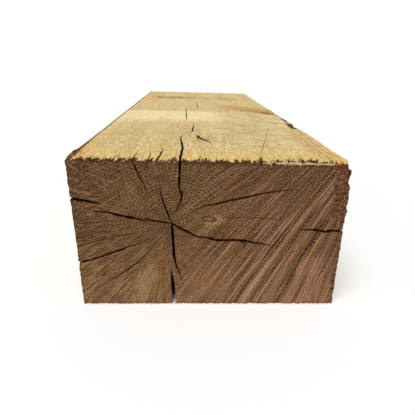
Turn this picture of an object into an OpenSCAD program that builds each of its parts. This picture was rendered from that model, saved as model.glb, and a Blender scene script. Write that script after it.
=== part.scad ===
// Railway sleeper: a short length of heavy oak timber, sawn on four sides and
// cross-cut at both ends.
// One solid. Length along Y with the split end at -Y, width along X, +Z up,
// origin at the middle of the underside. Millimetres.

/* [Section] */
// Width at the widest point of the section
sleeper_width = 260; // [200:1:320]
// Height between the two sawn faces
sleeper_height = 150; // [120:1:200]
// How far the foot of the left side leans in under its top
left_lean = 5; // [0:0.5:12]
// How far the head of the right side leans in above its foot
right_lean = 1; // [0:0.5:12]

/* [Length] */
// Length between the two cross-cut ends
sleeper_length = 800; // [500:5:2600]

/* [Heart] */
// Sideways place of the heart of the tree, from the middle of the width
heart_x = -36; // [-60:1:60]
// Height of the heart above the underside
heart_z = 88; // [70:1:100]

/* [Shakes] */
// Depth of the wide shakes that run out from the heart
heart_shake_depth = 70; // [20:5:200]
// Depth of the short shakes that run in from the faces
edge_shake_depth = 45; // [20:5:200]
// Width of the wide shakes at their widest
shake_width = 2.6; // [1:0.1:5]
// Width of the thin shakes at their widest
thin_shake_width = 1.4; // [0.8:0.1:4]
// Length of the drying check along the top face
check_length = 220; // [60:5:400]
// Depth of the drying check at the split end
check_depth = 46; // [10:1:60]
// Depth of the drying check towards its far end
check_tail_depth = 20; // [5:1:60]
// Width of the notch that the lower shake opens in the underside
notch_width = 5; // [2:0.5:12]
// Height of that notch
notch_height = 38; // [10:1:50]
// Depth of the short check in the knot on the top face
knot_check_depth = 14; // [5:1:40]

/* [Hidden] */

half_width = sleeper_width / 2;
half_length = sleeper_length / 2;
split_end = -half_length;
past_face = 5;        // how far a cutter stands clear of the face it opens
tip_width = 0.5;      // width of a shake where it closes
taper_start = 0.6;    // share of a shake's length before it starts to close
notch_offset = 2;     // how far to the right of the heart the lower notch opens

// The section seen from the split end, from the foot of the left side round.
SECTION = [
    [-half_width + left_lean, 0],
    [half_width, 0],
    [half_width - right_lean, sleeper_height],
    [-half_width, sleeper_height]
];

// Shakes that start at the heart: offsets from the heart, outwards.
LEFT_SHAKE = [[0, 0], [-24, 5], [-44, 9], [-60, 12], [-71, 13]];
RIGHT_SHAKE = [[0, 0], [12, -6], [28, -13], [44, -16], [66, -16], [99, -21]];
LOWER_SHAKE = [[0, 0], [1, -16], [3, -34], [6, -48], [10, -60]];
UPPER_SHAKE = [[0, 0], [-4, 12], [-8, 24], [-11, 40]];
FAR_SHAKE = [[18, 13], [30, 19], [56, 25], [88, 33], [121, 37]];
LOW_LEFT_SHAKE = [[-13, -16], [-30, -37], [-44, -49], [-60, -60], [-71, -69]];

// Shakes that start at a face: the first number is the distance in from that
// side, the second the height above the heart.
LEFT_EDGE_SHAKES = [
    [[-past_face, 26], [14, 23], [30, 20]],
    [[-past_face, -44], [24, -35], [46, -26], [72, -16]]
];
RIGHT_EDGE_SHAKE = [[-past_face, -5], [18, -6], [38, -4]];
// The one in the top edge: sideways from the heart, then down from the top.
TOP_EDGE_SHAKE = [[-35, -past_face], [-31, 10], [-27, 19], [-23, 28]];

// Checks in the top face, in plan: sideways from the heart, then along the
// length from the split end as a share of the check's own length.
CHECK_ROUTE = [[6, 0], [8, 0.14], [9, 0.27], [7, 0.41], [5, 0.52], [13, 0.66], [20, 0.82], [22, 1]];
CHECK_STEP = 4;       // point of the route where the deep check turns shallow

// The check across the knot, in plan: sideways from the heart, then along the
// length from the split end.
KNOT_CHECK_ROUTE = [[38, 90], [36, 98], [31, 107], [26, 115], [25, 130]];

// Direction square to the line from a to b, one unit long.
function side_of(a, b) = [a[1] - b[1], b[0] - a[0]] / norm(b - a);

// Width along a shake: full up to taper_start, then closing to a tip.
function width_at(i, last, width) =
    let (closing = max(0, i / last - taper_start) / (1 - taper_start))
    width - (width - tip_width) * closing;

// Direction across the shake at point i, from its neighbours.
function across(points, i) =
    side_of(points[max(i - 1, 0)], points[min(i + 1, len(points) - 1)]);

// Outline of a shake: up one side of its route and down the other.
function shake_outline(points, width) =
    let (last = len(points) - 1)
    concat(
        [for (i = [0:last]) points[i] + across(points, i) * width_at(i, last, width) / 2],
        [for (i = [last:-1:0]) points[i] - across(points, i) * width_at(i, last, width) / 2]
    );

// A shake sawn open by the cross-cut: its outline driven in from the split end.
module end_shake(points, width, depth) {
    translate([0, split_end - past_face, 0])
        rotate([90, 0, 0])
            mirror([0, 0, 1])
                linear_extrude(height = depth + past_face)
                    polygon(shake_outline(points, width));
}

function from_heart(points) = [for (p = points) [heart_x + p[0], heart_z + p[1]]];
function from_left(points) = [for (p = points) [-half_width + p[0], heart_z + p[1]]];
function from_right(points) = [for (p = points) [half_width - p[0], heart_z + p[1]]];
function from_top(points) = [for (p = points) [heart_x + p[0], sleeper_height - p[1]]];

module heart_shakes() {
    for (route = [LEFT_SHAKE, RIGHT_SHAKE, LOWER_SHAKE])
        end_shake(from_heart(route), shake_width, heart_shake_depth);
    for (route = [UPPER_SHAKE, FAR_SHAKE, LOW_LEFT_SHAKE])
        end_shake(from_heart(route), thin_shake_width, edge_shake_depth);
}

module edge_shakes() {
    for (route = LEFT_EDGE_SHAKES)
        end_shake(from_left(route), thin_shake_width, edge_shake_depth);
    end_shake(from_right(RIGHT_EDGE_SHAKE), thin_shake_width, edge_shake_depth);
    end_shake(from_top(TOP_EDGE_SHAKE), thin_shake_width, edge_shake_depth);
}

// The notch in the underside, open downwards and closing towards the heart.
module lower_notch() {
    notch_x = heart_x + notch_offset;
    translate([0, split_end - past_face, 0])
        rotate([90, 0, 0])
            mirror([0, 0, 1])
                linear_extrude(height = edge_shake_depth + past_face)
                    polygon([
                        [notch_x - notch_width / 2, -past_face],
                        [notch_x + notch_width / 2, -past_face],
                        [notch_x, notch_height]
                    ]);
}

// A stretch of the drying check, cut down from the top face.
module check_stretch(from, to, depth) {
    start = from == 0 ? -past_face : 0;
    route = [
        for (i = [from:to])
            [heart_x + CHECK_ROUTE[i][0],
             split_end + CHECK_ROUTE[i][1] * check_length + (i == from ? start : 0)]
    ];
    translate([0, 0, sleeper_height - depth])
        linear_extrude(height = depth + past_face)
            polygon(shake_outline(route, from == 0 ? shake_width : thin_shake_width));
}

module drying_check() {
    check_stretch(0, CHECK_STEP, check_depth);
    check_stretch(CHECK_STEP, len(CHECK_ROUTE) - 1, check_tail_depth);
}

module knot_check() {
    route = [for (p = KNOT_CHECK_ROUTE) [heart_x + p[0], split_end + p[1]]];
    translate([0, 0, sleeper_height - knot_check_depth])
        linear_extrude(height = knot_check_depth + past_face)
            polygon(shake_outline(route, shake_width));
}

module sleeper() {
    color("burlywood")
        difference() {
            translate([0, split_end, 0])
                rotate([90, 0, 0])
                    mirror([0, 0, 1])
                        linear_extrude(height = sleeper_length)
                            polygon(SECTION);
            heart_shakes();
            edge_shakes();
            lower_notch();
            drying_check();
            knot_check();
        }
}

sleeper();
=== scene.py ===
import math

import bmesh
import bpy
import numpy as np
from mathutils import Matrix, Vector, noise


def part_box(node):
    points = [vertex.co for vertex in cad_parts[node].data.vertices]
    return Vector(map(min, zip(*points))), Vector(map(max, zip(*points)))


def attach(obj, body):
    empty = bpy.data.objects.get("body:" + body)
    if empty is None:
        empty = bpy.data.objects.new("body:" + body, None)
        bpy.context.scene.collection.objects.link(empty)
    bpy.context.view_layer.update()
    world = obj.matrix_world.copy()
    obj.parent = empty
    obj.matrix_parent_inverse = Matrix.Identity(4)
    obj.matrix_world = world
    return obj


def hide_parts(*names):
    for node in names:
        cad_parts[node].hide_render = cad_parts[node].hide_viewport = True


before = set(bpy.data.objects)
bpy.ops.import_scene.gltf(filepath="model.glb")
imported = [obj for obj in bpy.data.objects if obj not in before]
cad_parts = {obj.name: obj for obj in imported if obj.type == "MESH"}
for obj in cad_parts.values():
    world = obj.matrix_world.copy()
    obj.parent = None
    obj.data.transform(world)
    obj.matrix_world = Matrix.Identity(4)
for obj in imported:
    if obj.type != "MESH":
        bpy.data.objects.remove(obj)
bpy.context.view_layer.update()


# --- Where the viewer stands ------------------------------------------------
# A person standing close to the split end, a little to its left, looking
# slightly down on the timber with a moderately wide lens.

low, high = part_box("sleeper")
width, length, height = high - low
split_end, far_end = low.y, high.y


def aim(camera, place, down, turn, tilt):
    """Points the camera: down is its dip, turn its swing to the right, tilt its roll, in degrees."""
    down, turn, tilt = (math.radians(a) for a in (down, turn, tilt))
    ahead = Vector((math.sin(turn) * math.cos(down), math.cos(turn) * math.cos(down), -math.sin(down)))
    level = Vector((math.cos(turn), -math.sin(turn), 0))
    above = level.cross(ahead)
    right = level * math.cos(tilt) + above * math.sin(tilt)
    up = above * math.cos(tilt) - level * math.sin(tilt)
    camera.matrix_world = Matrix.Translation(place) @ Matrix((right, up, -ahead)).transposed().to_4x4()


view = bpy.data.cameras.new("view")
view.sensor_width = 36
view.lens = 34.29
viewer = bpy.data.objects.new("viewer", view)
bpy.context.scene.collection.objects.link(viewer)
bpy.context.scene.camera = viewer
aim(viewer, (-0.0191, split_end - 0.3459, 0.2352), down=20.45, turn=2.74, tilt=1.59)


# --- Studio -----------------------------------------------------------------
# A pale floor that runs out to the horizon, a sky that is white low down and
# dim overhead, and one broad lamp high up, for soft and even daylight.

scene = bpy.context.scene
scene.view_settings.view_transform = "Standard"


class Value:
    """A number or colour on its way through a node tree, worked on with ordinary arithmetic."""

    def __init__(self, recipe, socket):
        self.recipe = recipe
        self.socket = socket

    def maths(self, operation, *others):
        return self.recipe.node("ShaderNodeMath", {"operation": operation}, dict(enumerate((self, *others))))

    def __add__(self, other):
        return self.maths("ADD", other)

    def __sub__(self, other):
        return self.maths("SUBTRACT", other)

    def __rsub__(self, other):
        return self.recipe.node("ShaderNodeMath", {"operation": "SUBTRACT"}, {0: other, 1: self})

    def __mul__(self, other):
        return self.maths("MULTIPLY", other)

    def __truediv__(self, other):
        return self.maths("DIVIDE", other)

    def __pow__(self, other):
        return self.maths("POWER", other)

    __radd__ = __add__
    __rmul__ = __mul__

    def ramp(self, start, end, first=0.0, last=1.0):
        """Eases from first to last as this value goes from start to end."""
        places = {0: self, 1: start, 2: end, 3: first, 4: last}
        return self.recipe.node("ShaderNodeMapRange", {"interpolation_type": "SMOOTHSTEP"}, places)

    def zone(self, start, end, ease):
        """1 while this value is between start and end, easing to 0 on both sides."""
        return self.ramp(start - ease, start) * self.ramp(end + ease, end)

    def stain(self, share, colour):
        """This colour, moved towards another by a share from 0 to 1."""
        return self.recipe.blend(share, self, colour)


class Recipe:
    """A node tree while it is put together."""

    def __init__(self, tree):
        self.tree = tree

    def node(self, kind, settings, inputs, out=0):
        """Adds one node: its settings first, then its inputs, each a plain value or a link."""
        node = self.tree.nodes.new(kind)
        for name, setting in settings.items():
            if name == "stops":
                self.set_stops(node.color_ramp, setting)
            else:
                setattr(node, name, setting)
        for place, value in inputs.items():
            if isinstance(value, Value):
                self.tree.links.new(value.socket, node.inputs[place])
            else:
                node.inputs[place].default_value = value
        return Value(self, node.outputs[out])

    def blend(self, share, first, second):
        """One colour easing into another as the share goes from 0 to 1."""
        return self.node("ShaderNodeMix", {"data_type": "RGBA"}, {0: share, 6: first, 7: second}, out=2)

    def set_stops(self, ramp, stops):
        """Gives a ramp its stops: pairs of a place and a brightness, both from 0 to 1."""
        ramp.interpolation = "EASE"
        ramp.elements[1].position = stops[-1][0]
        ramp.elements[0].position = stops[0][0]
        for place, _ in stops[1:-1]:
            ramp.elements.new(place)
        for element, (place, bright) in zip(ramp.elements, stops):
            element.color = (bright, bright, bright, 1)


def soft_sky():
    """White low down, where it stands behind the timber, and dim overhead."""
    sky = bpy.data.worlds.new("sky")
    sky.use_nodes = True
    recipe = Recipe(sky.node_tree)
    heading = recipe.node("ShaderNodeTexCoord", {}, {})
    rise = recipe.node("ShaderNodeSeparateXYZ", {}, {0: heading}, out=2)
    background = sky.node_tree.nodes["Background"]
    background.inputs["Color"].default_value = (1, 1, 1, 1)
    sky.node_tree.links.new(rise.ramp(0.15, 0.42, 1.06, 0.26).socket, background.inputs["Strength"])
    scene.world = sky


def high_lamp():
    """A broad far-off lamp, high up in front and a little to the left."""
    lamp = bpy.data.lights.new("high_lamp", "SUN")
    lamp.energy = 2.6
    lamp.angle = math.radians(38)
    holder = bpy.data.objects.new("high_lamp", lamp)
    holder.rotation_euler = Vector((-0.16, -0.44, 1)).to_track_quat("Z", "Y").to_euler()
    scene.collection.objects.link(holder)


soft_sky()
high_lamp()


def pale_floor():
    """A flat floor under the timber, out past the edge of sight."""
    bm = bmesh.new()
    bmesh.ops.create_grid(bm, x_segments=1, y_segments=1, size=60)
    bmesh.ops.translate(bm, verts=bm.verts, vec=(0, 0, low.z - 0.0002))
    mesh = bpy.data.meshes.new("floor")
    bm.to_mesh(mesh)
    bm.free()
    floor = bpy.data.objects.new("floor", mesh)
    scene.collection.objects.link(floor)
    paint = bpy.data.materials.new("floor_paint")
    paint.use_nodes = True
    surface = paint.node_tree.nodes["Principled BSDF"]
    surface.inputs["Base Color"].default_value = (0.96, 0.96, 0.96, 1)
    surface.inputs["Roughness"].default_value = 0.9
    surface.inputs["Specular IOR Level"].default_value = 0.1
    mesh.materials.append(paint)


pale_floor()


# --- The timber -------------------------------------------------------------
# One length of green oak, ripped to section by a circular saw and cross-cut by
# chainsaw. It begins as a plain block, and everything that the saws, the bark
# and the drying did to it is then worked into its faces.

mm = 0.001
left_lean = 5 * mm           # how far the foot of the left side leans in
right_lean = 1 * mm          # how far the head of the right side leans in
heart_x, heart_z = -36, 88   # the heart of the tree on the split end, in mm

# The timber is divided more finely the nearer it is to the split end: the end
# of each stretch, and how many pieces the stretch is cut into.
STRETCHES = [(40 * mm, 16), (400 * mm, 64), (length, 24)]
pieces_across, pieces_up = 196, 74


def block():
    """A closed block of the timber's full size, divided finely enough to be carved."""
    bm = bmesh.new()
    bmesh.ops.create_cube(bm, size=1)
    bmesh.ops.scale(bm, verts=bm.verts, vec=(width, length, height))
    bmesh.ops.translate(bm, verts=bm.verts, vec=(low + high) / 2)
    for face in bm.faces:
        face.material_index = 0 if abs(face.normal.y) > 0.5 else 1
    start = 0
    for end, pieces in STRETCHES:
        if end < length:
            bmesh.ops.bisect_plane(bm, geom=bm.verts[:] + bm.edges[:] + bm.faces[:],
                                   plane_co=(0, split_end + end, 0), plane_no=(0, 1, 0))
        twice = 2 * split_end + start + end
        divide(bm, 1, pieces, lambda edge: abs(edge.verts[0].co.y + edge.verts[1].co.y - twice) < 1 * mm)
        start = end
    divide(bm, 0, pieces_across)
    divide(bm, 2, pieces_up)
    return bm


def divide(bm, axis, pieces, chosen=lambda edge: True):
    """Cuts every chosen edge that runs along one axis into so many equal pieces."""
    edges = []
    for edge in bm.edges:
        run = edge.verts[1].co - edge.verts[0].co
        if abs(run[axis]) > 0.99 * run.length and chosen(edge):
            edges.append(edge)
    bmesh.ops.subdivide_edges(bm, edges=edges, cuts=pieces - 1, use_grid_fill=True)


def smooth(low_end, high_end, value):
    """0 before low_end, 1 after high_end, and an easy curve between."""
    share = np.clip((value - low_end) / (high_end - low_end), 0, 1)
    return share * share * (3 - 2 * share)


def hump(value, start, end, ease):
    """1 between start and end, easing to 0 on both sides."""
    return smooth(start - ease, start, value) * (1 - smooth(end, end + ease, value))


def rough(points, scale, seed, octaves=3):
    """Lumpy noise between about -1 and 1 at each point; scale is lumps to the metre along x, y and z."""
    shift = Vector((seed * 17.3, seed * 9.1, seed * 5.7))
    return np.array([
        noise.fractal(Vector((p[0] * scale[0], p[1] * scale[1], p[2] * scale[2])) + shift, 0.9, 2.1, octaves)
        for p in points
    ])


# The chainsaw swung about a point up on the right, and its teeth left bands in
# the split end. Each pair is the angle of a band about that point, to the half
# degree, and its height: 0 is the bottom of a hollow, 1 the top of a ridge. In
# the end grain the hollows are painted dark as painted shade and the ridges
# pale as painted highlight.
saw_x, saw_z = 204, 247      # that point on the plane of the split end, in mm
saw_reach = 200              # the angles are true at this distance from the point
saw_drift = 0.028            # degrees that a band turns by for each mm further out
SAW_BANDS = [
    (30, 0.5), (33.5, 0.6), (35, 0.4), (37, 0.7), (39, 0.3), (40, 0.6), (41.5, 0.4), (43, 0.7),
    (44, 0.3), (45, 0.6), (46, 0.3), (47, 0.6), (47.5, 0.4), (48.5, 0.7), (49.5, 0.3), (50.5, 0.9),
    (51.5, 0.1), (53, 1.0), (54.5, 0.2), (55.5, 0.8), (56, 0.5), (57, 0.9), (58, 0.6), (59.5, 0.0),
    (61, 0.9), (63, 0.3), (64, 0.9), (66, 0.3), (67, 0.7), (70, 0.5),
]


def saw_height(x, z):
    """How high the chainsaw left each point of the split end, from 0 to 1."""
    reach = np.hypot(saw_x - x / mm, saw_z - z / mm)
    angle = np.degrees(np.arctan2(saw_z - z / mm, saw_x - x / mm)) - saw_drift * (reach - saw_reach)
    return np.interp(angle, *zip(*SAW_BANDS))


def carve(bm):
    """Moves the block's surface to the sawn section, with its bark, saw marks and chipped arrises."""
    bm.verts.ensure_lookup_table()
    bm.normal_update()
    place = np.array([v.co for v in bm.verts])
    facing = np.array([v.normal for v in bm.verts])
    x, y, z = place.T.copy()
    from_end = y - split_end
    on_end = smooth(0.3, 0.9, -facing[:, 1])
    on_far = smooth(0.3, 0.9, facing[:, 1])
    on_top = smooth(0.3, 0.9, facing[:, 2])
    on_base = smooth(0.3, 0.9, -facing[:, 2])
    on_left = smooth(0.3, 0.9, -facing[:, 0])
    on_right = smooth(0.3, 0.9, facing[:, 0])

    # The section leans on both sides.
    across = (x - low.x) / width
    up = (z - low.z) / height
    x = x + left_lean * (1 - up) * (1 - across) - right_lean * up * across

    # Bark left on: a lumpy ridge on the left near the split end, and rough scales down the right side.
    swelling = hump(from_end, 22 * mm, 34 * mm, 20 * mm) * hump(z, 134 * mm, 152 * mm, 20 * mm)
    lumps = rough(place, (70, 170, 200), 3)
    x = x - on_left * swelling * (3.4 * mm + 3.2 * mm * lumps)
    ledge = smooth(low.x + 6 * mm, low.x + 1 * mm, place[:, 0]) * (1 - smooth(10 * mm, 65 * mm, from_end))
    z = z - on_top * ledge * (1.2 * mm + 2.2 * mm * lumps)
    scales = rough(place, (0, 70, 210), 4)
    knobs = rough(place, (0, 25, 60), 5)
    bark_deep = 0.3 + 0.7 * smooth(74 * mm, 88 * mm, z)
    x = x + on_right * (2.0 * mm * scales + 1.2 * mm * knobs - 0.3 * mm) * bark_deep
    x = x + on_right * 0.8 * mm * smooth(60 * mm, 90 * mm, from_end) * smooth(90 * mm, 140 * mm, z)
    near_pocket = hump(from_end, 202 * mm, 226 * mm, 8 * mm)
    far_pocket = hump(from_end, 348 * mm, 362 * mm, 8 * mm)
    pocket = np.maximum(near_pocket, far_pocket)
    pocket = pocket * smooth(high.x - 16 * mm, high.x - 3 * mm, place[:, 0]) * smooth(126 * mm, 146 * mm, z)
    z = z - pocket * on_top * 1.4 * mm
    x = x - pocket * on_right * 0.6 * mm
    chip = (1 - smooth(2 * mm, 16 * mm, from_end)) * smooth(high.x - 7 * mm, high.x, place[:, 0])
    chip = chip * smooth(high.z - 9 * mm, high.z, place[:, 2])
    x = x - chip * 2.6 * mm
    z = z - chip * 3.0 * mm

    # Ripsaw: slow waves and short cross ridges on the long faces.
    wave = 0.7 * mm * rough(place, (7, 5, 7), 6)
    tooth_pitch = 13 * mm
    teeth = 0.16 * mm * np.sin(2 * np.pi * (y + 0.12 * x + 0.10 * z) / tooth_pitch)
    teeth = teeth * (1 + rough(place, (8, 10, 8), 7))
    z = z + (wave * 0.4 + teeth - 0.2 * mm) * on_top - (wave * 0.4 + teeth - 0.2 * mm) * on_base
    x = x + (wave + teeth) * (on_right - on_left)

    # Chainsaw: bands and tufts on the split end, a flatter cut on the far one.
    tufts = rough(place, (210, 0, 210), 8)
    swing = 0.25 + 0.75 * smooth(-70 * mm, 0, x)
    y = y + on_end * (1.5 * mm * (1 - saw_height(x, z)) * swing + 0.4 * mm * tufts + 0.3 * mm)
    y = y - on_far * (0.3 * mm * np.abs(tufts) + 0.5 * mm * np.abs(rough(place, (14, 0, 14), 10)))

    # Arrises: crumbled where the cross-cut came out through them.
    crumble = np.abs(rough(place, (330, 60, 330), 11))
    edge_top = smooth(high.z - 3 * mm, high.z, place[:, 2]) * (1 - smooth(0, 5 * mm, from_end))
    y = y + edge_top * crumble * 3.2 * mm
    z = z - edge_top * crumble * 1.6 * mm
    edge_base = (1 - smooth(0, 3 * mm, place[:, 2])) * (1 - smooth(0, 5 * mm, from_end))
    z = z + edge_base * crumble * 1.8 * mm
    y = y + edge_base * crumble * 1.5 * mm
    edge_left = (1 - smooth(low.x, low.x + 3 * mm, place[:, 0])) * (1 - smooth(0, 5 * mm, from_end))
    x = x + edge_left * crumble * 1.0 * mm
    for vert, moved in zip(bm.verts, zip(x, y, np.maximum(z, low.z))):
        vert.co = moved


# --- The shakes -------------------------------------------------------------
# Splits that opened as the timber dried, out from its heart and in from its
# faces. Each is a thin jagged wedge, wide at the surface and closing inwards.

shut = 0.12                  # share of its width that a split keeps where it closes
ragged = 0.22                # how much its width varies along it, as a share
clear_of_end = 6             # how far a wedge stands clear of the split end, in mm
clear_of_top = 4             # and of the top face
top = round(high.z / mm)     # the top face above the underside, in mm


class Cutters:
    """Wedges that are taken out of the timber together, so those of one set stay clear of each other."""

    def __init__(self, seed):
        self.bm = bmesh.new()
        self.random = np.random.default_rng(seed)

    def split(self, face, route, widest, depth, first, last):
        """A split along a route of (across, up) points on the end, or (across, along) on the top, in mm.

        First and last are the shares of its width that are left at the two ends of the route.
        """
        stations = jagged(route, self.random)
        count = len(stations)
        outline = [[], []]
        for i, here in enumerate(stations):
            run = stations[min(i + 1, count - 1)] - stations[max(i - 1, 0)]
            square = Vector((-run.y, run.x)).normalized()
            share = i / (count - 1)
            opened = min(first + share * 3, last + (1 - share) * 2.2, 1)
            half = widest / 2 * opened * (1 + self.random.uniform(-ragged, ragged))
            outline[0].append((here, square * half))
            outline[1].append((here, -square * half))
        ring = outline[0] + outline[1][::-1]
        spread = []
        for here, half in ring:
            wide = here + half
            tight = here + half * shut
            if face == "end":
                mouth = (wide.x, split_end / mm - clear_of_end, wide.y)
                floor = (tight.x, split_end / mm + depth, tight.y)
            else:
                mouth = (wide.x, split_end / mm + wide.y, top + clear_of_top)
                floor = (tight.x, split_end / mm + tight.y, top - depth)
            spread.append((Vector(mouth) * mm, Vector(floor) * mm))
        mouth = [self.bm.verts.new(wide) for wide, tight in spread]
        pushed = bmesh.ops.extrude_face_region(self.bm, geom=[self.bm.faces.new(mouth)])["geom"]
        moved = {tuple(vert.co): vert for vert in pushed if isinstance(vert, bmesh.types.BMVert)}
        for vert, (wide, tight) in zip(mouth, spread):
            moved[tuple(vert.co)].co = tight

    def notch(self, place, wide, long, deep, drift):
        """A torn notch in an arris: a four-sided spike that points along the grain."""
        made = bmesh.ops.create_cone(self.bm, segments=4, radius1=1, radius2=0, depth=1, cap_ends=True)
        made = made["verts"]
        bmesh.ops.translate(self.bm, verts=made, vec=(0, 0, 0.5))
        shape = Matrix.Diagonal((wide / 2, deep, long)).to_4x4()
        bmesh.ops.transform(self.bm, verts=made, matrix=Matrix.Rotation(-math.pi / 2, 4, "X") @ shape)
        for vert in made:
            vert.co.x += drift * vert.co.y
        bmesh.ops.translate(self.bm, verts=made, vec=place)

    def cut(self, timber, material):
        """Takes these wedges out of the timber and leaves their walls in the given material."""
        bmesh.ops.recalc_face_normals(self.bm, faces=self.bm.faces)
        mesh = bpy.data.meshes.new("wedges")
        self.bm.to_mesh(mesh)
        self.bm.free()
        mesh.materials.append(material)
        wedges = bpy.data.objects.new("wedges", mesh)
        scene.collection.objects.link(wedges)
        saw = timber.modifiers.new("saw", "BOOLEAN")
        saw.operation = "DIFFERENCE"
        saw.solver = "MANIFOLD"
        saw.object = wedges
        saw.material_mode = "TRANSFER"
        bpy.context.view_layer.update()
        done = bpy.data.meshes.new_from_object(timber.evaluated_get(bpy.context.evaluated_depsgraph_get()))
        timber.modifiers.clear()
        timber.data = done
        bpy.data.objects.remove(wedges)


def jagged(route, random):
    """Points about 2.5 mm apart along a route, wandering a little as wood fibres do."""
    pace = 2.5
    drift = 0.28
    points = [Vector(p) for p in route]
    stations = []
    for a, b in zip(points, points[1:]):
        steps = max(2, round((b - a).length / pace))
        for i in range(steps):
            stations.append(a.lerp(b, i / steps))
    stations.append(points[-1])
    eased = [stations[0]]
    for a, b, c in zip(stations, stations[1:], stations[2:]):
        eased.append((a + b * 2 + c) / 4 + Vector(random.uniform(-drift, drift, 2)))
    return eased + [stations[-1]]


# Each split is its route in mm, its width where it is widest, its depth, and
# the shares of that width left at its start and end. Routes in a set never cross.
END_SPLITS = [
    [
        ([(-36, 89), (-48, 91), (-61, 94)], 2.4, 70, 0.5, 0.5),
        ([(-58, 91), (-70, 94), (-80, 96), (-96, 100), (-109, 101)], 2.9, 70, 0.3, 0.3),
        (
            [(-28, 155), (-28, 146), (-29, 133), (-29, 124), (-26, 118), (-28, 110), (-32, 101)],
            2.1, 60, 1, 0.35,
        ),
        ([(-133, 114), (-116, 111), (-99, 108)], 3.0, 45, 1, shut),
        ([(-133, 45), (-106, 53), (-84, 62), (-68, 68), (-57, 73)], 2.4, 45, 1, shut),
        ([(-34, -5), (-34, 8), (-35, 22), (-37, 41)], 4.4, 45, 1, shut),
        (
            [(-25, 93), (-16, 102), (-6, 107), (20, 113), (40, 118), (52, 121), (72, 124), (88, 125)],
            2.2, 45, shut, shut,
        ),
        ([(133, 83), (120, 83), (112, 82), (100, 84), (88, 84)], 3.0, 45, 1, 0.4),
        ([(-73, 155), (-67, 140), (-63, 131), (-58, 121)], 1.8, 40, 1, shut),
        ([(12, 95), (30, 96), (46, 96), (70, 94)], 1.2, 8, 0.3, 0.5),
        ([(-118, 67), (-98, 74), (-68, 80)], 0.9, 8, shut, shut),
        ([(2, 62), (12, 52), (24, 40)], 0.5, 6, shut, shut),
    ],
    [
        ([(-36, 89), (-24, 82), (-7, 73)], 2.9, 70, 0.4, shut),
        ([(-11, 76), (8, 72), (30, 72), (48, 69), (68, 66)], 3.0, 70, 0.5, shut),
        ([(-108, 18), (-96, 28), (-80, 39), (-66, 51), (-54, 65), (-47, 74)], 1.5, 45, shut, shut),
        ([(-133, 88), (-114, 89), (-100, 90)], 0.7, 12, 1, shut),
        ([(70, 64), (78, 62), (90, 60)], 0.9, 6, shut, shut),
        ([(66, 102), (84, 102), (98, 101)], 0.5, 6, shut, shut),
        ([(-14, 56), (-6, 48), (3, 40)], 0.5, 6, shut, shut),
    ],
    [
        ([(-36, 91), (-35, 72), (-34, 54), (-31, 42), (-26, 27)], 3.0, 70, 0.4, shut),
    ],
    [
        ([(-36, 88), (-40, 100), (-43, 109), (-46, 120), (-47, 131)], 1.9, 45, 0.4, shut),
    ],
]
TOP_SPLITS = [
    [
        ([(-29, -6), (-28, 30), (-27, 60), (-29, 90), (-31, 115), (-29, 130), (-24, 147)], 2.6, 34, 1, shut),
        ([(-11, 133), (-9, 116), (-5, 107), (0, 98), (3, 88)], 5.2, 16, 0.35, shut),
        ([(-49, 2), (-48, 22), (-46, 56)], 2.2, 14, 0.5, shut),
        ([(-57, 3), (-57, 24), (-60, 52)], 1.2, 8, 0.4, shut),
        ([(43, 2), (50, 35), (62, 86), (75, 140), (88, 200)], 0.9, 6, shut, shut),
        ([(-25, 243), (-26, 300), (-28, 380), (-28, 442)], 2.0, 16, shut, shut),
        ([(-7, 385), (-6, 450), (-8, 555)], 1.6, 8, shut, shut),
        ([(-10, 590), (-8, 655)], 1.5, 8, shut, shut),
    ],
    [
        ([(-26, 143), (-19, 151), (-17, 160), (-16, 185), (-14, 224)], 2.4, 20, shut, shut),
        ([(-10, 128), (-7, 145), (-8, 162)], 0.7, 6, shut, shut),
    ],
]


# --- Torn arrises -----------------------------------------------------------
# The cross-cut tore the fibres out of the arris instead of cutting them, so the
# top edge of the split end is a fringe of dark notches and pale teeth.

# Where the fringe is torn back furthest: across, and how far, in mm.
TUFTS = [
    (-116, 9), (-107, 7), (-103, 10), (-93, 8), (-83, 11), (-75, 7), (-57, 7), (-24, 10),
    (-14, 8), (-6, 11), (7, 11), (11, 9), (32, 9), (39, 10), (45, 9), (60, 8), (72, 14),
    (75, 11), (81, 15), (84, 13), (95, 16), (103, 7),
]


def torn_notches(timber, material):
    """Notches along the arrises of both ends, in sets that stay clear of each other."""
    random = np.random.default_rng(21)
    sets = [Cutters(100 + i) for i in range(5)]
    x = low.x + 6 * mm
    turn = 0
    while x < high.x - 13 * mm:
        torn = max(long * max(0, 1 - abs(x / mm - place) / 2.5) for place, long in TUFTS)
        long = max(random.uniform(2.0, 8.5), torn * random.uniform(0.8, 1.2))
        wide = random.uniform(1.4, 3.0) + long * 0.09
        lean = 0.42 * (x - low.x) / width - 0.10 + random.normal(0, 0.13)
        spot = (x, split_end - 1.2 * mm, high.z + 0.35 * mm)
        sets[turn % 5].notch(spot, wide * mm, (long + 1.2) * mm, random.uniform(1.4, 3.4) * mm, lean)
        x += random.uniform(1.1, 2.4) * mm
        turn += 1
    for cutters in sets:
        cutters.cut(timber, material)
    base = Cutters(140)
    x = low.x + 9 * mm
    while x < high.x - 5 * mm:
        wide = random.uniform(1.8, 4.5) * mm
        spot = (x, split_end - 1.5 * mm, low.z - 0.3 * mm)
        base.notch(spot, wide, random.uniform(4, 10) * mm, random.uniform(1.2, 2.6) * mm, 0)
        x += wide * 1.1 + abs(random.normal(0, 5)) * mm + 1 * mm
    base.cut(timber, material)
    far = Cutters(150)
    x = low.x + 14 * mm
    while x < high.x - 14 * mm:
        wide = random.uniform(1.8, 4.5) * mm
        spot = (x, far_end + 1.5 * mm, high.z + 0.3 * mm)
        far.notch(spot, wide, -random.uniform(5, 13) * mm, random.uniform(1.5, 3.0) * mm, 0)
        x += wide * 1.1 + abs(random.normal(0, 4)) * mm + 1 * mm
    far.cut(timber, material)
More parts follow.
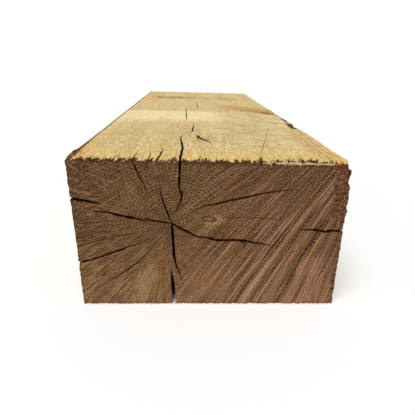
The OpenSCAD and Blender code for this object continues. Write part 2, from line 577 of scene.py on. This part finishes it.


# --- Finishes ---------------------------------------------------------------
# Oak, as the saws and the weather left it: straw-coloured and streaked along
# the grain on the sawn faces, brown and scored where the fibres are cut across;
# that brown is partly painted shade, and the saw bands carry painted shade and
# painted highlight.

def shade(red, green, blue):
    """A colour as it looks, each part from 0 to 255, turned into amounts of light."""
    return tuple(((part / 255 + 0.055) / 1.055) ** 2.4 for part in (red, green, blue)) + (1,)


class Finish(Recipe):
    """A material worked out from the timber's own coordinates in mm: x, along from the split end, and z."""

    def __init__(self, name):
        self.material = bpy.data.materials.new(name)
        self.material.use_nodes = True
        super().__init__(self.material.node_tree)
        place = self.node("ShaderNodeTexCoord", {}, {}, out="Object")
        place = self.node("ShaderNodeVectorMath", {"operation": "SCALE"}, {0: place, "Scale": 1000})
        self.x, y, self.z = (self.node("ShaderNodeSeparateXYZ", {}, {0: place}, out=i) for i in range(3))
        self.along = y - split_end / mm

    def grain(self, x, y, z, detail=3.0, roughness=0.6):
        """Soft noise from 0 to 1, one lump to each whole step of x, y and z."""
        place = self.node("ShaderNodeCombineXYZ", {}, {0: x, 1: y, 2: z})
        inputs = {"Vector": place, "Scale": 1.0, "Detail": detail, "Roughness": roughness}
        return self.node("ShaderNodeTexNoise", {}, inputs)

    def finish(self, colour, roughness, relief, deep):
        """Joins the colour and the relief to the surface; deep is the height of the relief in mm."""
        surface = self.tree.nodes["Principled BSDF"]
        surface.inputs["Roughness"].default_value = roughness
        surface.inputs["Specular IOR Level"].default_value = 0.08
        bump = self.node("ShaderNodeBump", {}, {"Strength": 1.0, "Distance": deep * mm, "Height": relief})
        self.tree.links.new(colour.socket, surface.inputs["Base Color"])
        self.tree.links.new(bump.socket, surface.inputs["Normal"])
        return self.material


def about_heart(f):
    """Growth rings, rays, distance from the heart in mm, and the direction across and up from it."""
    drift = f.grain(f.x / 40, f.along / 300, f.z / 40, 2) - 0.5
    shiver = f.grain(f.x / 6, f.along / 120, f.z / 6, 2) - 0.5
    across = f.x - heart_x + drift * 14 + shiver * 3
    up = f.z - heart_z + drift * 10 + shiver * 3
    away = (across * across + up * up) ** 0.5
    rings = ((away + f.grain(away / 14, 0, 0, 1) * 6) * (2 * math.pi / 2.8)).maths("SINE") * 0.5 + 0.5
    rays = f.grain(across / away * 42, up / away * 46, away / 13, 2, 0.6)
    return rings, rays, away, across / away, up / away


def end_grain():
    """The cross-cut ends: brown with dirt and air and partly with painted shade, faintly ringed and rayed,
    and scored by the chainsaw, its bands in painted shade and highlight.
    """
    f = Finish("end_grain")
    patch = f.grain(f.x / 42, 0, f.z / 42, 4)
    crumb = f.grain(f.x / 3.4, 0, f.z / 3.4, 3, 0.7)
    speck = f.grain(f.x / 1.3, 0, f.z / 1.3, 2, 0.8)
    rings, rays, away, across, up = about_heart(f)
    from_saw = saw_x - f.x
    under_saw = saw_z - f.z
    reach = (from_saw * from_saw + under_saw * under_saw) ** 0.5
    angle = under_saw.maths("ARCTAN2", from_saw) * 57.3 - (reach - saw_reach) * saw_drift
    first, last = SAW_BANDS[0][0], SAW_BANDS[-1][0]
    stops = [((place - first) / (last - first), bright) for place, bright in SAW_BANDS]
    bands = f.node("ShaderNodeValToRGB", {"stops": stops}, {0: (angle - first) / (last - first)})
    score = f.grain(angle * 2.7, reach / 60, 0, 2, 0.6)
    swath = f.grain(angle * 1.1, reach / 110, 4, 2)
    swung = (f.x - f.z * 0.3).ramp(-62, 12) * f.along.ramp(60, 20) * f.z.ramp(70, 150, 1.0, 0.72)
    still = 1 - swung
    low_down = f.z.ramp(85, 5)

    # The base browns hold painted shade on top of the end grain's own darker tone.
    wood = f.blend(patch.ramp(0.36, 0.64), shade(82, 53, 30), shade(102, 69, 41))
    wood = wood.stain(away.ramp(66, 20) * 0.25, shade(124, 90, 58))
    wood = wood.stain(f.z.ramp(30, 80) * still * 0.35, shade(66, 44, 24))
    wood = wood.stain(f.z.ramp(110, 150) * still * 0.35, shade(80, 56, 37))
    wood = wood.stain(low_down * still * 0.75, shade(132, 98, 66))
    wood = wood.stain(low_down * swung * 0.85, shade(142, 102, 73))
    cream = (((f.x + 72 - f.z * 0.3) / 13) ** 2 + ((f.z - 20) / 26) ** 2) ** 0.5 + (patch - 0.5) * 1.6
    wood = wood.stain(cream.ramp(1.2, 0.4) * 0.6, shade(166, 132, 98))
    rust = (((f.x + 46) / 9) ** 2 + ((f.z - 40) / 34) ** 2) ** 0.5 + (crumb - 0.5) * 2
    wood = wood.stain(rust.ramp(1.1, 0.3) * 0.35, shade(140, 84, 40))
    wood = wood.stain(f.grain(f.x / 30, 7, f.z / 19, 4, 0.7).ramp(0.57, 0.72) * 0.35, shade(140, 82, 44))
    wood = wood.stain(f.grain(f.x / 7, 9, f.z / 7, 3, 0.7).ramp(0.60, 0.70) * 0.45, shade(150, 84, 40))
    wood = wood.stain(f.grain(f.x / 17, 3, f.z / 17, 3, 0.6).ramp(0.56, 0.68) * 0.35, shade(124, 104, 56))
    pink = (((f.x - 98) / 15) ** 2 + ((f.z - 42) / 13) ** 2) ** 0.5 + (patch - 0.5) * 2
    wood = wood.stain(pink.ramp(1.2, 0.5) * 0.5, shade(168, 126, 104))

    # Rings and rays about the heart.
    ringed = away.ramp(84, 40) * (0.18 + up.ramp(-0.5, 0.6) * 0.24) + away.ramp(34, 12) * 0.12
    broken = f.grain(across * 3, up * 3, away / 12, 2).ramp(0.42, 0.58)
    wood = wood.stain(rings.ramp(0.70, 1.0) * broken * ringed, shade(184, 146, 98))
    wood = wood.stain(rings.ramp(0.30, 0.0) * broken * ringed * 0.7, shade(60, 38, 21))
    rayed = still * (0.15 + up.ramp(0.4, -0.4) * 0.12 + away.ramp(20, 60) * 0.06) + 0.04
    wood = wood.stain(rays.ramp(0.52, 0.62) * rayed, shade(184, 146, 102))
    wood = wood.stain(rays.ramp(0.48, 0.37) * rayed * 1.3, shade(50, 30, 16))

    # Bands and scratches left by the chainsaw: painted shade along their hollows, painted highlight along
    # their ridges.
    wood = wood.stain(bands.ramp(0.45, 0.0) * (swung * 0.85 + 0.10), shade(62, 37, 21))
    wood = wood.stain(bands.ramp(0.55, 1.0) * (swung * 0.68 + 0.10), shade(178, 132, 100))
    wood = wood.stain(swath.ramp(0.52, 0.64) * swung * 0.36, shade(186, 140, 106))
    wood = wood.stain(swath.ramp(0.48, 0.36) * swung * 0.42, shade(62, 37, 22))
    wood = wood.stain(score.ramp(0.52, 0.66) * (0.16 + swung * 0.42), shade(196, 154, 120))
    wood = wood.stain(score.ramp(0.48, 0.34) * (0.20 + swung * 0.46), shade(44, 26, 14))
    wood = wood.stain(crumb.ramp(0.46, 0.32) * 0.42, shade(46, 27, 14))
    wood = wood.stain(speck.ramp(0.53, 0.64) * (0.64 + swung * 0.14), shade(178, 136, 92))
    wood = wood.stain(speck.ramp(0.47, 0.36) * (0.72 + swung * 0.08), shade(38, 22, 11))

    # A small knot to the right of the heart, in pale speckled wood.
    knot = (((f.x + 1) / 6.6) ** 2 + ((f.z - 94 + f.x * 0.06) / 3.3) ** 2) ** 0.5 + (crumb - 0.5) * 1.7
    pale = (((f.x - 3) / 13) ** 2 + ((f.z - 93) / 5.5) ** 2) ** 0.5 + (crumb - 0.5) * 1.6
    wood = wood.stain(pale.ramp(1.1, 0.7) * speck.ramp(0.42, 0.56) * 0.55, shade(190, 150, 112))
    wood = wood.stain(knot.ramp(1.20, 1.00) * 0.80, shade(54, 28, 17))
    wood = wood.stain(knot.ramp(0.74, 0.52) * 0.80, shade(128, 92, 62))
    wood = wood.stain(knot.ramp(0.7, 0.4) * speck.ramp(0.50, 0.60) * 0.5, shade(176, 134, 98))

    # The rind down the right side, red at its top corner, and a darker band under the arris.
    shaggy = f.grain(f.x / 9, 0, f.z / 5, 3, 0.7) * 9 - f.z.ramp(78, 108) * 10.5
    rind = (f.x - 121.5 - shaggy).ramp(-0.5, 0.5) * f.along.ramp(60, 20)
    wood = wood.stain(rind * 0.92, shade(92, 58, 36))
    wood = wood.stain(rind * crumb.ramp(0.50, 0.60) * 0.75, shade(164, 112, 74))
    wood = wood.stain(rind * crumb.ramp(0.48, 0.38) * 0.88, shade(34, 16, 9))
    wood = wood.stain(rind * speck.ramp(0.52, 0.62) * 0.60, shade(170, 120, 82))
    wood = wood.stain(rind * speck.ramp(0.48, 0.38) * 0.75, shade(36, 18, 10))
    corner = (((f.x - 120) / 8) ** 2 + ((f.z - 147) / 5) ** 2) ** 0.5 + (crumb - 0.5)
    wood = wood.stain(corner.ramp(1.1, 0.6) * 0.7, shade(112, 50, 32))
    under = (f.z + crumb * 6).ramp(147.5, 151)
    wood = wood.stain(under * (0.20 + f.x.zone(-26, 42, 8) * 0.35), shade(72, 42, 32))
    edge = f.x + 125 + f.z * (5 / 150) * 1.0
    wood = wood.stain(edge.ramp(1.8, 0.6) * 0.55, shade(52, 34, 22))

    relief = bands * swung * 0.8 + score * (swung * 0.7 + 0.3)
    relief = relief + speck * 0.35 + crumb * 0.35 + rays * still * 0.4
    return f.finish(wood, 0.86, relief, 2.6)


def sawn_face():
    """The four ripped faces: pale oak, streaked along the grain and lightly scored across it."""
    f = Finish("sawn_face")
    x, along, z = f.x, f.along, f.z
    fine = f.grain(x / 1.2, along / 15, z / 1.2, 2, 0.7)
    long = f.grain(x / 5, along / 50, z / 5, 3, 0.7)
    broad = f.grain(x / 22, along / 200, z / 22, 3)
    bite = f.grain(x / 38, along / 7, z / 38, 3, 0.7)
    dash = f.grain(x / 3.4, along / 7, z / 3.4, 3, 0.75)
    crumb = f.grain(x / 3.5, along / 8, z / 3.5, 3, 0.7)
    wander = (f.grain(x / 34, along / 110, z / 34, 3) - 0.5) * 60
    fingers = (f.grain(x / 10, along / 420, z / 10, 3) - 0.5) * 90
    on_top = z.ramp(144, 147)

    wood = f.blend(broad.ramp(0.40, 0.60), shade(217, 192, 138), shade(204, 178, 122))
    wood = wood.stain((along + wander).ramp(85, 5) * 0.75, shade(222, 184, 106))
    wood = wood.stain((x + wander * 0.4).ramp(-112, -124) * along.ramp(190, 20) * 0.5, shade(218, 164, 88))
    cream = (along + fingers).ramp(215, 285) * (along + fingers * 0.25).ramp(372, 362)
    cream = cream * (x + wander).ramp(70, 5)
    wood = wood.stain(cream * 0.80, shade(244, 228, 178))
    wood = wood.stain((along + wander * 0.5).zone(385, 600, 12) * 0.45, shade(214, 190, 136))
    band = (along + fingers * 0.5 + wander * 1.4 + x * 0.12).zone(616, 640, 32) * broad.ramp(0.30, 0.52)
    wood = wood.stain(band * (x + wander * 1.6).zone(-76, -34, 38) * 0.80, shade(140, 104, 56))
    wood = wood.stain(band * (x + wander).zone(10, 80, 44) * 0.40, shade(160, 130, 84))
    amber = (along + wander).zone(555, 655, 30) * (x + wander * 0.3).zone(-116, -98, 7)
    wood = wood.stain(amber * 0.65, shade(214, 168, 86))

    # A brown stain feathers in from a wedge of bark in the right arris.
    reach = along + fingers * 0.8 + (x - 105) * 0.75
    wood = wood.stain(reach.zone(368, 432, 26) * (x + wander * 0.5).ramp(2, 84) * 0.80, shade(188, 140, 72))
    wood = wood.stain(reach.zone(362, 384, 14) * x.ramp(50, 120) * 0.55, shade(150, 98, 44))
    wedge = (along + (x - 112) * 1.6 + crumb * 8).zone(361, 371, 3) * (x + wander * 0.2).ramp(101, 114)
    streak = along + fingers * 0.35 + (x - 100) * 0.55
    frayed = long.ramp(0.40, 0.56)
    grey = streak.zone(240, 258, 7) * (x + wander).ramp(66, 108) * frayed
    wood = wood.stain(grey * 0.65, shade(158, 148, 118))
    white = streak.zone(266, 275, 4) * (x + wander).ramp(70, 104) * frayed
    wood = wood.stain(white * 0.75, shade(240, 228, 200))
    pink = along.zone(212, 234, 6) * (x + crumb * 6).zone(110, 119, 2)
    wood = wood.stain(pink * 0.8, shade(246, 208, 160))
    wood = wood.stain(along.ramp(250, 150) * (x + wander * 0.35).ramp(104, 121) * 0.30, shade(220, 174, 100))
    bent = x + wander * 0.16 + fingers * 0.05 - along * 0.02
    for place, wide in ((107, 0.5), (112, 1.0), (119, 0.7)):
        line = (bent - place).maths("ABSOLUTE").ramp(wide + 0.9, wide * 0.5)
        wood = wood.stain(line * along.zone(8, 178, 26) * 0.55, shade(176, 118, 56))

    # None of this runs down the sides, which have greyed a little.
    wood = wood.stain(1 - on_top, shade(186, 156, 108))
    weathered = f.grain(x / 60, along / 160, z / 26, 4, 0.65)
    wood = wood.stain((1 - on_top) * weathered.ramp(0.42, 0.60) * 0.55, shade(140, 110, 74))

    # Grain: pale and dark streaks, the saw's bite across them, and dark flecks.
    near = along.ramp(260, 40, 0.62, 1.0)
    wood = wood.stain(fine.ramp(0.49, 0.36) * near * 0.46, shade(160, 120, 64))
    wood = wood.stain(fine.ramp(0.52, 0.64) * near * 0.44, shade(250, 234, 184))
    wood = wood.stain(long.ramp(0.48, 0.36) * near * 0.26, shade(172, 134, 76))
    wood = wood.stain(long.ramp(0.54, 0.66) * near * 0.26, shade(250, 228, 170))
    scored = along.zone(60, 560, 50) * (0.13 + x.zone(20, 96, 16) * along.zone(80, 232, 30) * 0.24)
    wood = wood.stain(bite.ramp(0.48, 0.38) * scored, shade(148, 114, 64))
    wood = wood.stain(bite.ramp(0.54, 0.64) * scored, shade(252, 236, 192))
    wood = wood.stain(dash.ramp(0.43, 0.34) * 0.50, shade(124, 88, 44))
    wood = wood.stain(dash.ramp(0.57, 0.66) * 0.20, shade(254, 240, 196))
    split = f.grain(x / 2.2, along / 45, 3, 2, 0.6).ramp(0.38, 0.30) * along.ramp(66, 12)
    wood = wood.stain(split * (0.35 + x.ramp(-40, -90) * 0.45), shade(128, 82, 34))

    # The fibres swirl round the knot in the top.
    knot = (((x + 5) / 17) ** 2 + ((along - 110) / 31) ** 2) ** 0.5 + (dash - 0.5) * 0.5
    swirl = (knot * 19).maths("SINE") * 0.5 + 0.5
    wood = wood.stain(knot.ramp(1.2, 0.4) * swirl * on_top * 0.32, shade(140, 106, 56))
    wood = wood.stain(knot.ramp(0.7, 0.2) * on_top * 0.35, shade(168, 132, 76))

    # Bark: in the right arris, on the left near the split end, and down the right side.
    flake = f.grain(x / 3, along / 11, z / 3, 3, 0.75)
    drift = (f.grain(0, along / 230, 8, 2) - 0.5) * along.ramp(20, 160) * 110
    ragged = x + crumb * 14 + wander * 0.2
    bark = (along + wander * 0.3).zone(256, 290, 6) * ragged.ramp(131, 133)
    bark = bark.maths("MAXIMUM", (along + wander * 0.3).zone(198, 238, 8) * ragged.ramp(127, 129))
    bark = (bark * z.ramp(120, 140)).maths("MAXIMUM", wedge * on_top)
    ledge = along.ramp(72, 34) * 4.6 + (crumb - 0.5) * 7 - 0.6
    bark = bark.maths("MAXIMUM", (x + 130 - ledge).ramp(0.6, -0.6) * along.ramp(80, 60))
    bark = bark.maths("MAXIMUM", x.ramp(-126, -128) * (along + wander).ramp(110, 60) * z.ramp(96, 118))
    down_side = x.ramp(124, 127) * (1 - on_top) * (z + wander * 0.8 + crumb * 26 + drift).ramp(87, 91)
    bark = bark.maths("MAXIMUM", down_side)
    line = (x + 130.5 + (crumb - 0.5) * 3).ramp(4.4, 2.2) * on_top
    wood = wood.stain(line * 0.80, shade(118, 98, 74))
    wood = wood.stain(bark, shade(98, 70, 46))
    wood = wood.stain(bark * flake.ramp(0.52, 0.64) * 0.7, shade(158, 112, 68))
    wood = wood.stain(bark * flake.ramp(0.48, 0.37) * 0.80, shade(50, 31, 18))
    wood = wood.stain(bark * x.ramp(-110, -118) * flake.ramp(0.60, 0.68) * 0.5, shade(196, 118, 52))

    # Dark stubs of fibre stand back from the torn arris between the pale teeth, painted on the flat top:
    # partly the fibres' weathered brown, partly painted shade of the notches between them.
    upright = x - along * (x * 0.0016 + 0.11)
    clumps = f.grain(upright / 11, along / 90, 5, 1)
    teeth = f.grain(upright / 2.4, along / 60, 0, 2, 0.7) + clumps * 0.7
    stub_and_shade = along - 0.8 - (teeth - 0.80).maths("MAXIMUM", 0) * 74
    wood = wood.stain(stub_and_shade.ramp(0.5, -0.5) * on_top * 0.94, shade(66, 40, 19))

    relief = fine * 0.6 + long * 0.5 + bite * 0.35 + dash * 0.4 + flake * bark * 2.5
    return f.finish(wood, 0.8, relief, 0.9)


def shake_wall():
    """Inside a shake: bare wood gone nearly black."""
    f = Finish("shake_wall")
    dust = f.grain(f.x / 4, f.along / 25, f.z / 4)
    wood = f.blend(dust.ramp(0.4, 0.6), shade(70, 38, 26), shade(118, 74, 50))
    return f.finish(wood, 0.95, dust, 0.6)


def torn_wood():
    """Inside a torn notch: rough brown fibre."""
    f = Finish("torn_wood")
    strand = f.grain(f.x / 1.4, f.along / 14, f.z / 1.4)
    wood = f.blend(strand.ramp(0.38, 0.64), shade(58, 33, 15), shade(106, 68, 34))
    return f.finish(wood, 0.92, strand, 0.8)


def make_timber():
    """The whole timber: carved, split, torn along its arrises, and standing for the plain CAD solid."""
    bm = block()
    carve(bm)
    mesh = bpy.data.meshes.new("timber")
    bm.to_mesh(mesh)
    bm.free()
    timber = bpy.data.objects.new("sawn_timber", mesh)
    scene.collection.objects.link(timber)
    for material in (end_grain(), sawn_face()):
        mesh.materials.append(material)
    dark, torn = shake_wall(), torn_wood()
    for face, sets, seed in (("end", END_SPLITS, 40), ("top", TOP_SPLITS, 60)):
        for number, splits in enumerate(sets):
            cutters = Cutters(seed + number)
            for split in splits:
                cutters.split(face, *split)
            cutters.cut(timber, dark)
    torn_notches(timber, torn)
    timber.data.shade_smooth()
    timber.data.set_sharp_from_angle(angle=math.radians(38))
    timber.data.name = "sawn_timber"
    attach(timber, "root")
    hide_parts("sleeper")


make_timber()


# --- Torn fibres ------------------------------------------------------------
# Strings of wood that the cross-cut pulled out and left on the arrises. They
# are the timber's own fibres, still rooted in it, and palest where fresh.

def fibre(bm, fresh, root, run, sag, curl, thick, sweep):
    """One tapering string of wood: it runs out from its root, sags, and curls to one side."""
    steps = 6
    along = run.normalized()
    side = along.cross(Vector((0, 0, 1))).normalized()
    over = side.cross(along)
    tip = bmesh.ops.create_circle(bm, segments=3, radius=thick / 2, cap_ends=True)["verts"]
    corners = [vert.co.copy() for vert in tip]
    cap = tip[0].link_faces[0]
    tone = bm.verts.layers.float["fresh"]
    for step in range(steps + 1):
        share = step / steps
        if step:
            grown = bmesh.ops.extrude_face_region(bm, geom=[cap, *cap.edges])["geom"]
            cap = next(part for part in grown if isinstance(part, bmesh.types.BMFace))
            tip = list(cap.verts)
        swing = curl * math.sin(share * sweep) * share
        fall = Vector((0, 0, sag * share * share))
        middle = root + run * share + side * swing + over * (swing * 0.4) - fall
        for vert, corner in zip(tip, corners):
            vert.co = middle + (side * corner.x + over * corner.y) * (1 - 0.75 * share)
            vert[tone] = fresh


def straw():
    """Loose fibre: straw-coloured where it is fresh, brown where it is not."""
    f = Finish("straw")
    fresh = f.node("ShaderNodeAttribute", {"attribute_name": "fresh"}, {}, out="Fac")
    patch = f.grain(f.x / 5, f.along / 11, f.z / 5, 2)
    share = (fresh + (patch - 0.5) * 0.9).ramp(0.25, 0.85)
    wood = f.blend(share, shade(82, 52, 27), shade(226, 200, 146))
    return f.finish(wood, 0.85, patch, 0.2)


def torn_fibres():
    """Every loose fibre of the timber, as one mesh."""
    bm = bmesh.new()
    bm.verts.layers.float.new("fresh")
    random = np.random.default_rng(77)
    # Short ends all along the top arris.
    for i in range(150):
        x = random.uniform(low.x + 4 * mm, high.x - 12 * mm)
        root = Vector((x, split_end + random.uniform(1.5, 5) * mm, high.z - random.uniform(0.3, 1.2) * mm))
        run = Vector((random.normal(0, 1.3), -random.uniform(1.5, 4.2), random.uniform(-0.2, 0.9))) * mm
        fibre(bm, random.choice((0.1, 0.2, 0.8)), root, run, random.uniform(0, 0.6) * mm,
              random.normal(0, 0.6) * mm, random.uniform(0.6, 1.2) * mm, random.uniform(1, 3))
    # Brown tufts that stand up where the fringe is torn back.
    for place, long in TUFTS:
        for i in range(8):
            root = Vector((
                place + random.normal(0, 1.5),
                split_end / mm + random.uniform(0.5, 4),
                high.z / mm - 1,
            )) * mm
            run = Vector((
                random.normal(0, 1.3),
                -random.uniform(0, 1.4),
                random.uniform(0.16, 0.38) * long,
            )) * mm
            fibre(bm, random.uniform(-0.2, 0.15), root, run, 0, random.normal(0, 0.6) * mm,
                  random.uniform(1.0, 2.0) * mm, random.uniform(1, 4))
    # A pale tangle that hangs over the end on the right, and strings that lie along it.
    for i in range(54):
        x = random.uniform(54, 83) * mm
        root = Vector((x, split_end + random.uniform(0.2, 4) * mm, high.z - random.uniform(0.2, 1.5) * mm))
        reach = random.uniform(3, 9) * random.choice((-1, 1))
        run = Vector((reach, -random.uniform(0.2, 2.6), random.normal(0.5, 1.5))) * mm
        fibre(bm, random.uniform(0.5, 1.2), root, run, random.uniform(-1.2, 1.0) * mm,
              random.normal(0, 2.8) * mm, random.uniform(0.8, 1.5) * mm, random.uniform(3, 7))
    for i in range(26):
        x = random.uniform(84, 112) * mm
        root = Vector((x, split_end + random.uniform(0.2, 2) * mm, high.z - random.uniform(0.2, 1.2) * mm))
        reach = random.uniform(4, 10) * random.choice((-1, 1))
        run = Vector((reach, -random.uniform(0.6, 2.0), random.normal(0, 0.4))) * mm
        fibre(bm, random.uniform(0.6, 1.0), root, run, random.uniform(0, 0.6) * mm,
              random.normal(0, 0.6) * mm, random.uniform(0.5, 1.0) * mm, random.uniform(2, 5))
    # Stubs along the foot of the split end and along the top of the far one.
    for i in range(46):
        x = random.uniform(low.x + 9 * mm, high.x - 4 * mm)
        root = Vector((x, split_end + random.uniform(1, 3) * mm, low.z + random.uniform(1.0, 2.4) * mm))
        run = Vector((random.normal(0, 1.6), -random.uniform(1.5, 3.5), random.uniform(-0.6, 0.6))) * mm
        fibre(bm, random.uniform(0, 0.6), root, run, 0.2 * mm, random.normal(0, 0.4) * mm,
              random.uniform(0.4, 0.8) * mm, 2)
    for i in range(70):
        x = random.uniform(low.x + 14 * mm, high.x - 14 * mm)
        root = Vector((x, far_end - random.uniform(1.5, 4) * mm, high.z - random.uniform(0.4, 1.2) * mm))
        run = Vector((random.normal(0, 1.3), random.uniform(2.0, 5.0), -random.uniform(0, 1.2))) * mm
        fibre(bm, random.uniform(0.1, 0.9), root, run, random.uniform(0, 1.5) * mm,
              random.normal(0, 0.5) * mm, random.uniform(0.4, 0.9) * mm, random.uniform(1, 3))
    for vert in bm.verts:
        vert.co.z = max(vert.co.z, low.z)
    bmesh.ops.recalc_face_normals(bm, faces=bm.faces)
    mesh = bpy.data.meshes.new("torn_fibres")
    bm.to_mesh(mesh)
    bm.free()
    mesh.materials.append(straw())
    mesh.shade_smooth()
    fibres = bpy.data.objects.new("torn_fibres", mesh)
    scene.collection.objects.link(fibres)
    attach(fibres, "root")


torn_fibres()
